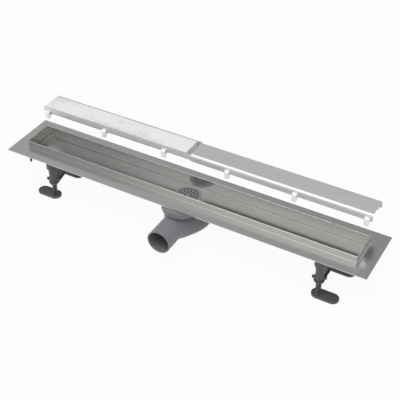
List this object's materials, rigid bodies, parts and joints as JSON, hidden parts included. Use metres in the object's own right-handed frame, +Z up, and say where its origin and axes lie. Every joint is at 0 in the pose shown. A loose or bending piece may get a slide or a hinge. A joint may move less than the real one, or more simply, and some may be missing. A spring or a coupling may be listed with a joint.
{
  "type": "linear shower drain",
  "caption": "Linear shower drain: flanged steel trough on adjustable feet, odour trap with side outlet under a strainer, reversible tile or steel cover on clips.",
  "frame": {"origin": "on the floor under the feet, straight below the drain hole, at the middle of the foot holes", "axes": "+X along the channel, +Z up, the outlet pipe points to -Y"},
  "size_m": [0.81, 0.199, 0.168],
  "materials": {
    "channel_steel": "satin",
    "cover_steel": "satin",
    "trap_plastic": "matte",
    "leg_plastic": "matte",
    "clip_plastic": "gloss",
    "drain_plastic": "satin",
    "tile": "polished",
    "seal_rubber": "matte",
    "dark_fasteners": "satin"
  },
  "bodies": {
    "drain": {"channel": "channel_steel", "collar_flange": "channel_steel", "weld_studs": "channel_steel", "cover_plate": "cover_steel", "cover_tray": "cover_steel", "trap_bowl": "trap_plastic", "trap_head": "trap_plastic", "outlet_pipe": "trap_plastic", "leg_bracket_left": "leg_plastic", "leg_bracket_right": "leg_plastic", "tray_clips": "clip_plastic", "plate_clips": "clip_plastic", "clamp_ring": "drain_plastic", "strainer_grid": "drain_plastic", "odour_cup": "drain_plastic", "odour_bell": "drain_plastic", "tile_insert": "tile", "trap_gasket": "seal_rubber", "cup_seal": "seal_rubber", "lock_screws": "dark_fasteners", "earthing_stud": "dark_fasteners", "earthing_nut": "dark_fasteners", "bracket_nuts": "dark_fasteners"},
    "foot_front_left": {"foot_front_left": "leg_plastic"},
    "foot_front_right": {"foot_front_right": "leg_plastic"},
    "foot_back_left": {"foot_back_left": "leg_plastic"},
    "foot_back_right": {"foot_back_right": "leg_plastic"}
  },
  "joints": [
    {"name": "foot_front_left_height", "type": "slide", "parent": "drain", "child": "foot_front_left", "axis": [0, 0, 1], "range_m": [-0.022, 0.012]},
    {"name": "foot_front_right_height", "type": "slide", "parent": "drain", "child": "foot_front_right", "axis": [0, 0, 1], "range_m": [-0.022, 0.012]},
    {"name": "foot_back_left_height", "type": "slide", "parent": "drain", "child": "foot_back_left", "axis": [0, 0, 1], "range_m": [-0.022, 0.012]},
    {"name": "foot_back_right_height", "type": "slide", "parent": "drain", "child": "foot_back_right", "axis": [0, 0, 1], "range_m": [-0.022, 0.012]}
  ]
}
